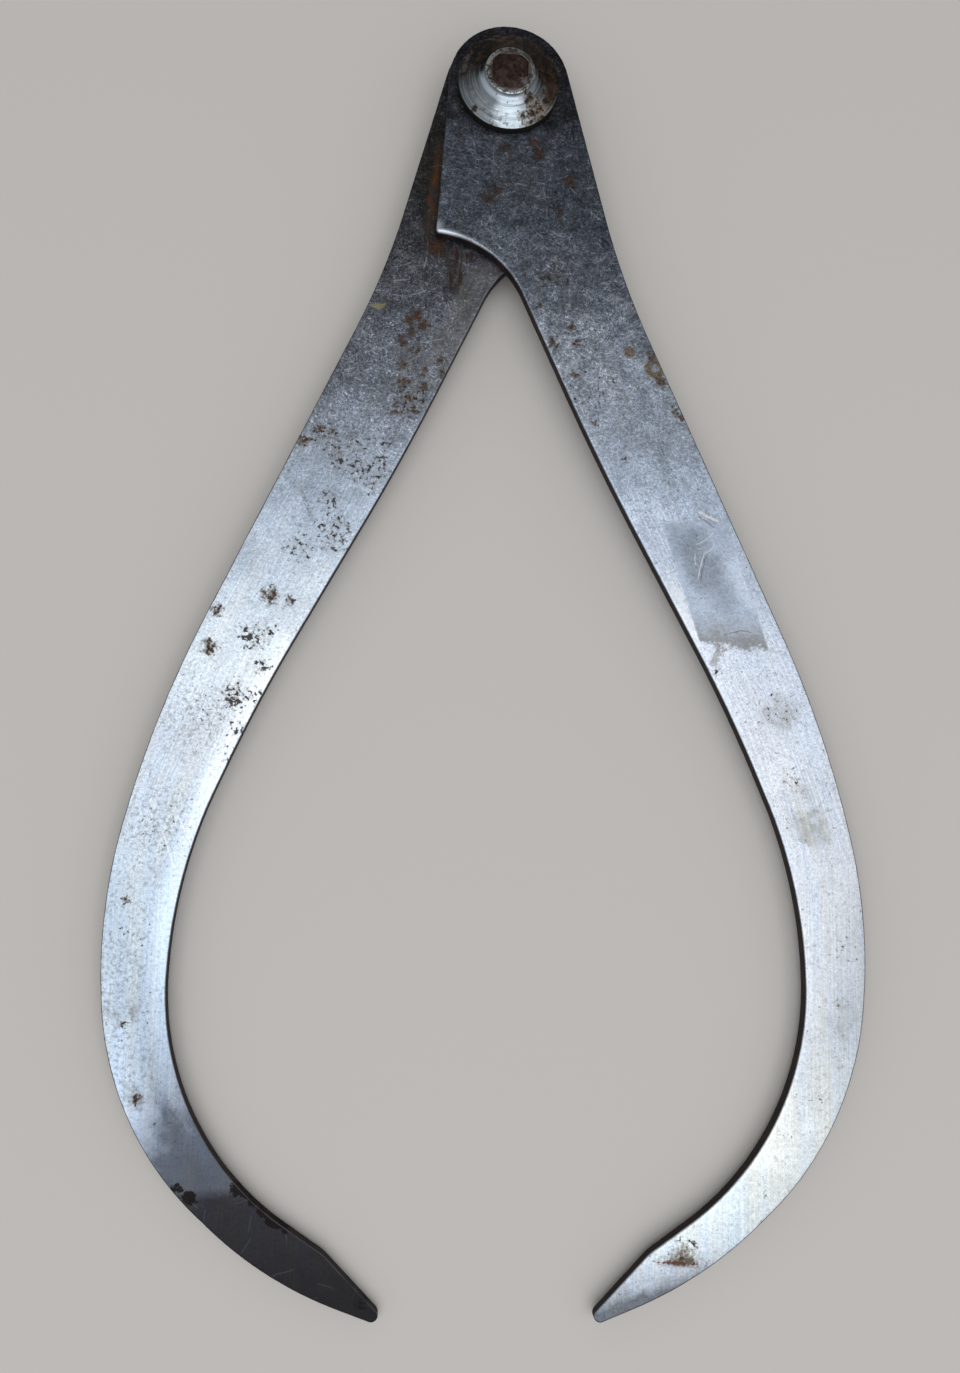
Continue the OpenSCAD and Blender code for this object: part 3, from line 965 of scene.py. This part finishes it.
class RearLegFinish(LegFinish):
    """With a rust run beside the front leg's head, a rubbed band under the
    notch, a dab of yellow paint, and the blackened end."""

    tones = rear_tones
    rust_spots = rear_rust
    scuffed_from = (-80, -46)
    scuff_depth = 1.3

    def tone_shift(self, down):
        # it darkens first between the middle and a paler strip along the inner edge
        y, across = self.y, self.across
        near_end = y.step(-140, -162) * y.step(-187, -179)
        down = down - ((across - 1.4) * 1.6 + self.from_inner.step(3.6, 0.8) * 5.5) * near_end
        line = (across * 0.06 + y + 184 + self.blotch.swing(4)).step(0.9, -0.9)
        return down + line * 4.5

    def side_light(self):
        y = self.y
        # painted light: a brighter strip along the inner edge part way down, partly wear, and a
        # brighter outer side near the end
        wear_and_sheen = self.from_inner.step(3.6, 1.2) * y.step(-94, -108) * y.step(-166, -146)
        outer = self.from_outer.step(6.5, 2) * y.step(-150, -162) * y.step(-180, -170)
        outer = outer * (0.24 + y.step(-166, -171) * 0.26)
        return 1 + wear_and_sheen * 0.3 + outer - self.across * 0.006

    def smooth(self):
        return self.y.step(-166, -184) * 0.6

    def paint(self):
        """Lays on this leg's own marks; gives back their dirt and relief."""
        bench, x, y, blotch, fleck = self.bench, self.x, self.y, self.blotch, self.fleck
        run = bench.drawn(x * 1.3, y * 0.28, 0, 3, 0.65)
        beside = abs(x + 12.2 + (y + 18) * -0.11 + run.swing(2.4)).step(1.25, 0.1)
        beside = beside * y.between(-28.5, -24, -12, -7)
        # darker band along the front leg's head: dull dirt and painted shade
        dull_and_shaded = abs(x + 12.6).step(2.6, 1) * y.between(-31, -27, -9, -2)
        self.mark(dull_and_shaded, 0.55, srgb(52, 48, 41))
        self.mark(beside * run.step(0.3, 0.56), 0.8, srgb(62, 42, 27))
        bright = run.step(0.44, 0.62) * y.between(-26, -21, -15, -11)
        self.mark(beside * bright, 0.85, srgb(98, 60, 30))
        run_rust = bench.measure("run_rust")
        streaks = bench.drawn((x - y * 0.08) * 1.5, y * 0.22, 5, 2, 0.6)
        streaked = (streaks + run_rust * 0.17 + fleck.swing(0.25)).step(0.6, 0.72)
        streaked = streaked * run_rust.step(0.05, 0.35)
        self.mark(run_rust.step(0.1, 0.8), 0.45, srgb(66, 60, 54))
        self.mark(streaked, 0.88, srgb(50, 28, 20))
        stained = bench.measure("stained")
        veil = (stained * 0.26 + blotch + fleck.swing(0.5)).step(0.62, 0.92)
        self.mark(veil * stained.step(0, 0.5), 0.55, srgb(84, 74, 58))

        # rubbed band along the inner edge, just below the notch
        rubbed = self.from_inner.step(5.2, 4) * y.between(-58, -44, -33, -29)
        lines = bench.drawn(self.across * 3.4, y * 0.05)
        self.mark(rubbed * (0.25 + lines.step(0.42, 0.66) * 0.45), 1, (0.22, 0.215, 0.21))

        # dab of paint, a dotted line and speckled, worn places
        dab_x, dab_y = turned(x + 21.3, y + 40.2, 6)
        dab = abs(dab_x) * 0.34 + abs(dab_y - dab_x * dab_x * 0.14) * 0.9 + fleck.swing(1.2)
        dab = dab.step(0.7, 0.38)
        self.mark(dab, 0.7, srgb(150, 140, 98))
        dotted = abs(turned(x + 32, y + 75.6, 20)[0]).step(0.5, 0.15)
        dotted = dotted * y.between(-79, -77.5, -74, -72.5) * fleck.step(0.44, 0.58)
        self.mark(dotted, 0.6, srgb(88, 80, 74))
        lean_x, lean_y = turned(x * 1.1, y * 1.1, 40)
        worn_area = bench.measure("speckled")
        speckled = bench.noise(bench.joined(lean_y, lean_x), 1.3, 2, 0.6) + worn_area * 0.09
        speckled = (speckled.step(0.58, 0.7) * self.from_inner.step(1.5, 4)
                    * worn_area.step(0, 0.5))
        self.mark(speckled, 0.45, (0.17, 0.18, 0.19))

        # bright curved scratches
        scars = self.curves(
            (-48.4, -130.8, -57, 5.5, 0.22, 0.028), (-51.4, -132.6, -72, 3.2, 0.16, -0.03),
            (-44.4, -95.4, -68, 2.2, 0.16, 0.14), (-25.2, -66, -12, 2.6, 0.14, 0.03, 0.6),
            (-31.4, -69.2, 22, 2.4, 0.14, 0.06, 0.6), (-12, -46, 12, 2.4, 0.13, 0.04, 0.6))
        self.mark(scars, 0.5, (0.88, 0.91, 0.95))

        # thick dark rust where the blackened end begins, and down its inner edge
        crusted = bench.measure("crusted")
        crust = (crusted * 0.9 + fleck.swing(1.2) + blotch.swing(1.8)).step(0.5, 0.68)
        crust = crust * crusted.step(0, 0.3)
        self.mark(crust, 0.92, bench.blend(self.grit, srgb(8, 4, 4), srgb(26, 15, 13)))
        return (beside * 0.6 + streaked * 0.7 + dab * 0.4 + crust * 0.9,
                dab * 0.4 - scars * 0.4 + crust * 0.8)


def washer_finish(name, facing):
    """Turned steel with tool rings; bright towards -Y with painted highlight, and behind a dark
    brown oxide layer deepened by painted dark reflection; rust pits on one side.
    """
    finish = Finish(name)
    bench, place, flat, x, y = finish.bench, finish.place, finish.flat, finish.x, finish.y
    flat_edge, rim = flat_diameter / 2, washer_diameter / 2
    top = full_height / 2
    radius = (x * x + y * y) ** 0.5
    near_top = ((finish.z - top) * facing).step(top - 0.25, top - 0.05)
    cloud = bench.noise(place, 0.28, 3)
    blotch = bench.noise(place, 0.9, 3, 0.6)
    fleck = bench.noise(place, 2.6, 2, 0.6)
    grit = bench.noise(place, 5, 1)
    wavy = radius + cloud.swing(0.25)
    rings = bench.drawn(wavy * 1.9, (x + y) * 0.06, cloud * 1.2, 3, 0.75)
    fine_rings = bench.drawn(wavy * 5, (x - y) * 0.1, 4, 1)

    # bare towards -Y, going through ringed grey to a dark brown oxide layer behind; the bright side
    # is partly painted highlight, the dark side partly painted dark reflection
    lit_way = y * -1 / radius
    bare = (lit_way + cloud.swing(0.35) + rings.swing(1.1) + fine_rings.swing(0.7)
            + blotch.swing(0.25) - x.step(3.5, 7.5) * 0.32).step(-0.25, 0.75)
    # painted highlight: the brightest lobe on the side towards the light
    painted_highlight = (lit_way + x * 0.006 + rings.swing(0.25) + cloud.swing(0.1)).step(0.84, 1)
    bare = bare * (0.4 + painted_highlight * 0.6)
    clean = bench.blend(rings.step(0.36, 0.64), (0.32, 0.385, 0.44), (0.52, 0.6, 0.66))
    clean = bench.blend((blotch + fleck.swing(0.8)).step(0.52, 0.72) * 0.45 * radius.step(4.9, 7.2),
                        clean, (0.24, 0.21, 0.19))
    film_and_dark_reflection = bench.blend((blotch + fleck.swing(0.4)).step(0.42, 0.66),
                       (0.002, 0.0016, 0.0013), (0.026, 0.014, 0.007))
    warm = (cloud + fleck.swing(0.8) + blotch.swing(0.6)).step(0.5, 0.66)
    film_and_dark_reflection = bench.blend(warm * (x + y * 0.6).step(-1, 4) * 0.8, film_and_dark_reflection, (0.052, 0.028, 0.015))
    pale = (blotch + cloud.swing(0.9) + fleck.swing(0.4)).step(0.48, 0.78)
    film_and_dark_reflection = bench.blend(pale * (x * -1).step(1, 5) * 0.7, film_and_dark_reflection, (0.02, 0.0125, 0.0085))
    film_and_dark_reflection = bench.blend((x * -1 - y * 0.75).step(2.5, 7.5) * 0.8, film_and_dark_reflection,
                       bench.blend(fine_rings, (0.01, 0.01, 0.011), (0.04, 0.04, 0.042)))
    finish.colour = bench.blend(bare, film_and_dark_reflection, clean)
    speckle = (grit * 0.6 + fleck * 0.4 + blotch.swing(1.1)).step(0.53, 0.66)
    speckle = speckle * radius.step(5.6, 7.8) * (x - 4).step(0, -3)
    finish.coat(speckle * 0.6, (0.105, 0.088, 0.078))

    # the hollow under the small flat gets a painted highlight on the side towards the light
    hollow_highlight = abs(radius - 4.8).step(0.6, 0.2) * radius.step(flat_edge - 0.03, flat_edge + 0.03)
    hollow_highlight = hollow_highlight * (x * -0.45 + y * -0.9 + cloud.swing(2)).step(1.6, 4.2)
    finish.coat(hollow_highlight * 0.7, (0.44, 0.5, 0.58))
    on_flat = radius.step(flat_edge + 0.03, flat_edge - 0.08) * near_top
    flat_colour = bench.blend((blotch + fleck.swing(0.9)).step(0.36, 0.62),
                              (0.13, 0.125, 0.115), (0.6, 0.63, 0.64))
    tarnish = (y * 0.22 + x * 0.1 + fleck.swing(2.5) + blotch.swing(2)).step(0.1, 1.3)
    flat_colour = bench.blend(tarnish * 0.6, flat_colour, (0.14, 0.115, 0.09))
    finish.coat(on_flat * 0.95, flat_colour)

    # rust and pits, washed out over the cone and seeping from the rivet
    rust_places, dark_pits = washer_rust[facing]
    near_rust = bench.areas(flat, rust_places)
    rust_grain = bench.noise(place, 1.9, 3, 0.62)
    wash = (near_rust * 0.5 + rust_grain * 0.8 + fleck.swing(0.4)).step(0.54, 0.86)
    wash = wash * near_rust.step(0, 0.5)
    pits = (rust_grain + near_rust * 0.15 + blotch.swing(0.2)).step(0.64, 0.77)
    pits = pits.either(bench.spots(bench.stirred(flat, place, 1.5, 3, 1.4), dark_pits, 0.5))
    washed = bench.blend((fleck + blotch.swing(0.6)).step(0.4, 0.66),
                         srgb(146, 132, 117), srgb(86, 65, 50))
    washed = bench.blend((y + x * 0.35).step(-2.9, -0.9) * facing, washed,
                         bench.blend(fleck.step(0.4, 0.6), srgb(84, 68, 54), srgb(50, 38, 30)))
    finish.coat(wash * 0.66, washed)
    finish.coat(pits * 0.95, srgb(40, 28, 22))
    seep = radius.step(4.1, 3.2) + fleck.swing(1.3) + blotch.swing(1.2)
    seep = seep.step(0.45, 0.75) * radius.step(4.1, 3.7) * near_top
    finish.coat(seep * 0.85, srgb(58, 41, 35))
    # the rim's side painted near-black: painted shade
    side = radius.step(rim - 0.14, rim - 0.06)
    finish.coat(side, bench.blend(blotch, srgb(22, 23, 22), srgb(38, 34, 30)))

    dirt = wash * 0.5 + pits * 0.5 + seep * 0.6 + (1 - bare) * 0.8 * (1 - on_flat) + side
    dirt = dirt.lesser(1)
    lathe = rings.swing(1) + fine_rings.swing(0.6)
    height = (lathe * (1 - on_flat) - pits * 1.3 + blotch.swing(0.7) * on_flat
              + grit.swing(0.2))
    return finish.done(0.34 + dirt * 0.3 + blotch.swing(0.2), 1 - dirt * 0.9, height, 0.035, 0.12)


def rivet_finish(name):
    """Hammered end gone to dark brown rust, with a few bright specks."""
    finish = Finish(name)
    bench, place, x, y = finish.bench, finish.place, finish.x, finish.y
    cloud = bench.noise(place, 0.6, 3)
    blotch = bench.noise(place, 1.6, 3, 0.65)
    fleck = bench.noise(place, 3.6, 2)
    finish.colour = bench.blend(blotch.step(0.35, 0.65), srgb(24, 16, 14), srgb(54, 38, 33))
    finish.coat((cloud + y * -0.03).step(0.48, 0.64) * 0.5, srgb(72, 60, 56))
    # rubbed bright towards one corner
    corner = bench.far_from(bench.joined(x * 0.7, y), 2.1, -1.5).step(1.6, 0.2)
    corner = (corner + fleck.swing(1.2) + blotch.swing(1.4)).step(0.45, 0.95)
    low_side = (y * -0.4 + blotch.swing(4) + cloud.swing(2)).step(1.4, 2.2) * 0.45
    speck = (fleck.step(0.66, 0.74) * 0.4).either(corner.either(low_side))
    finish.coat(speck * 0.7, srgb(126, 121, 120))
    return finish.done(0.82 - speck * 0.4, speck * 0.7, blotch + fleck * 0.5, 0.06, 0.15)


# ------------------------------------------------------------------ pieces
front_leg = leg_piece("front_leg_bar", True, front_areas)
rear_leg = leg_piece("rear_leg_bar", False, rear_areas)
front_washer = washer_piece("front_washer_cone", True)
rear_washer = washer_piece("rear_washer_cone", False)
rivet = rivet_piece("squared_rivet")

for piece, material, body, node, slot in (
    (front_leg, FrontLegFinish("front_leg_steel", seam_z + 1, seam_z + 1.6).build(),
     "front_half", "front_leg", "front_leg_steel"),
    (rear_leg, RearLegFinish("rear_leg_steel", seam_z - 1.6, seam_z - 1).build(),
     "rear_half", "rear_leg", "rear_leg_steel"),
    (front_washer, washer_finish("cap_washer_steel", 1),
     "rear_half", "front_cap_washer", "cap_washer_steel"),
    (rear_washer, washer_finish("cap_washer_steel_under", -1),
     "rear_half", "rear_cap_washer", "cap_washer_steel"),
    (rivet, rivet_finish("rivet_rust"), "rear_half", "rivet", "rivet_steel"),
):
    piece.data.materials.append(material)
    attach(piece, body)
    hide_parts(node)

# -------------------------------------------------------- floor and lights
# the caliper settles on the washer's small flat and the rear tip; the front leg
# stays just clear of the bench over its whole swing
floor_rise_x, floor_rise_y, floor_height = 0.020, -0.0246, -0.15
floor_reach = 3000
floor_places = [
    (x, y, floor_rise_x * x + floor_rise_y * y + floor_height)
    for x, y in ((-floor_reach, -floor_reach), (floor_reach, -floor_reach),
                 (floor_reach, floor_reach), (-floor_reach, floor_reach))]
floor = build_mesh("bench_top", floor_places, [[0, 1, 2, 3]], smooth=False)
floor_material, bench = new_material("pale_bench")
floor_shader = bench.node("ShaderNodeBsdfPrincipled", None, {
    "Base Color": (0.62, 0.6, 0.575), "Roughness": 0.8, "Specular IOR Level": 0.2})
bench.node("ShaderNodeOutputMaterial", None, {"Surface": floor_shader["BSDF"]})
floor.data.materials.append(floor_material)

world = bpy.data.worlds.new("studio")
bpy.context.scene.world = world
world.use_nodes = True
bench = Bench(world.node_tree)
_, to_y, to_z = bench.parts(bench.node("ShaderNodeTexCoord")["Generated"])
dome = bench.blend(to_z.step(0.05, 0.42), grey(0.22), grey(0.56))
flag = to_y.step(0.18, 0.52) * to_z.step(0.36, 0.56)
light = bench.blend(flag, dome, grey(0.16))
background = bench.node("ShaderNodeBackground", None, {"Color": light, "Strength": 1})
bench.node("ShaderNodeOutputWorld", None, {"Surface": background[0]})

panel_light = bpy.data.lights.new("overhead_panel", "AREA")
panel_light.shape = "SQUARE"
panel_light.size = 1.5
panel_light.energy = 7.6
panel = bpy.data.objects.new("overhead_panel", panel_light)
panel.location = (0.0, -0.57, 1.1)
bpy.context.collection.objects.link(panel)

camera_data = bpy.data.cameras.new("bench_camera")
camera_data.sensor_width = 36
camera_data.lens = 27.27
camera_data.clip_start = 0.01
camera = bpy.data.objects.new("bench_camera", camera_data)
camera.location = (-0.01733, -0.1240, 0.1762)
camera.rotation_euler = (0.11, -0.088, 0.01867)
bpy.context.collection.objects.link(camera)
bpy.context.scene.camera = camera
bpy.context.scene.view_settings.view_transform = "Standard"
